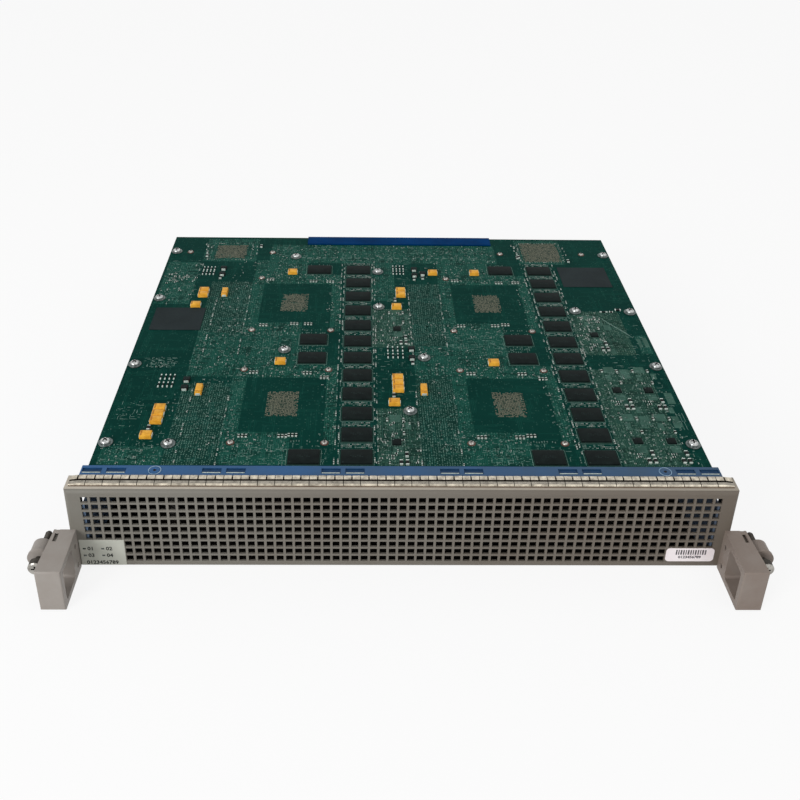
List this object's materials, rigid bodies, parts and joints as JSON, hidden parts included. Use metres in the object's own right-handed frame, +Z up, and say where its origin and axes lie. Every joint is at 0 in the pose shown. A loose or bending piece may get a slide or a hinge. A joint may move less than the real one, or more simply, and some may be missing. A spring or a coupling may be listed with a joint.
{
  "type": "router processor module",
  "caption": "Slide-in rack card with a perforated faceplate, loop handles, captive screws and a populated main board over a carrier tray.",
  "frame": {"origin": "middle of the footprint, level with the underside", "axes": "+X to the right seen from in front of the faceplate, +Y to the rear along the board, +Z up"},
  "size_m": [0.4172, 0.3498, 0.0582],
  "materials": {
    "tray_zinc": "blue-passivated zinc plate on folded steel sheet, satin",
    "face_paint": "fine-textured warm grey powder coat on perforated steel sheet",
    "legend_print": "matt light grey overlay",
    "light_pipe": "clear polycarbonate light pipes, unlit",
    "label_paper": "coated white label",
    "gasket_metal": "bright tin-plated spring strip",
    "stiffener_zinc": "deep blue-passivated zinc plate",
    "stiffener_screw_zinc": "blue-passivated flush screws",
    "board_mask": "glass-epoxy laminate under dark green solder mask, semi-gloss",
    "rear_strip_blue": "deep blue anodised bar",
    "screw_steel": "bright zinc-plated pan heads with washers",
    "sink_screw_steel": "small plated heads",
    "captive_steel": "bright nickel-plated steel",
    "ring_steel": "spring steel",
    "rivet_steel": "plain steel pins",
    "handle_paint": "grey powder coat on die-cast zinc alloy",
    "standoff_steel": "plated hexagonal standoffs",
    "sink_aluminium": "dark anodised aluminium extrusion",
    "processor_lid": "nickel-plated package lids",
    "chip_epoxy": "black moulded epoxy packages",
    "tantalum_yellow": "yellow moulded epoxy, satin",
    "ferrite": "dark ferrite bodies",
    "pad_film": "black insulating film",
    "converter_case": "black potted power converters",
    "connector_plastic": "glass-filled polymer shrouds",
    "socket_metal": "die-cast guide sockets"
  },
  "bodies": {
    "module": {"carrier_tray": "tray_zinc", "faceplate": "face_paint", "legend_overlay": "legend_print", "light_pipes": "light_pipe", "bar_label": "label_paper", "finger_gasket": "gasket_metal", "front_stiffener": "stiffener_zinc", "stiffener_screws": "stiffener_screw_zinc", "main_board": "board_mask", "rear_stiffener": "rear_strip_blue", "board_screws": "screw_steel", "heatsink_screws": "sink_screw_steel", "handle_rivets_left": "rivet_steel", "handle_rivets_right": "rivet_steel", "handle_left": "handle_paint", "handle_right": "handle_paint", "standoffs": "standoff_steel", "heatsink_front_left": "sink_aluminium", "heatsink_front_right": "sink_aluminium", "heatsink_rear_left": "sink_aluminium", "heatsink_rear_right": "sink_aluminium", "rear_heatsink_left": "sink_aluminium", "rear_heatsink_right": "sink_aluminium", "processor_front_left": "processor_lid", "processor_front_right": "processor_lid", "processor_rear_left": "processor_lid", "processor_rear_right": "processor_lid", "fabric_chip_left": "processor_lid", "fabric_chip_right": "processor_lid", "memory_column_left": "chip_epoxy", "memory_column_right": "chip_epoxy", "side_memory": "chip_epoxy", "controller_chips": "chip_epoxy", "tantalum_capacitors": "tantalum_yellow", "inductors": "ferrite", "insulating_pad_left": "pad_film", "insulating_pad_right": "pad_film", "power_converter_left": "converter_case", "power_converter_right": "converter_case", "backplane_connector_1": "connector_plastic", "backplane_connector_2": "connector_plastic", "backplane_connector_3": "connector_plastic", "power_connector": "connector_plastic", "guide_socket_left": "socket_metal", "guide_socket_right": "socket_metal"},
    "left_screw_ring": {"retaining_ring_left": "ring_steel"},
    "left_captive_screw": {"captive_screw_left": "captive_steel"},
    "right_screw_ring": {"retaining_ring_right": "ring_steel"},
    "right_captive_screw": {"captive_screw_right": "captive_steel"}
  },
  "joints": [
    {"name": "left_screw_slide", "type": "slide", "parent": "module", "child": "left_screw_ring", "axis": [0, 1, 0], "range_m": [0, 0.0029]},
    {"name": "left_screw_turn", "type": "hinge", "parent": "left_screw_ring", "child": "left_captive_screw", "pos_m": [-0.202, -0.14705, 0.02], "axis": [0, 1, 0], "continuous": true},
    {"name": "right_screw_slide", "type": "slide", "parent": "module", "child": "right_screw_ring", "axis": [0, 1, 0], "range_m": [0, 0.0029]},
    {"name": "right_screw_turn", "type": "hinge", "parent": "right_screw_ring", "child": "right_captive_screw", "pos_m": [0.202, -0.14705, 0.02], "axis": [0, 1, 0], "continuous": true}
  ]
}
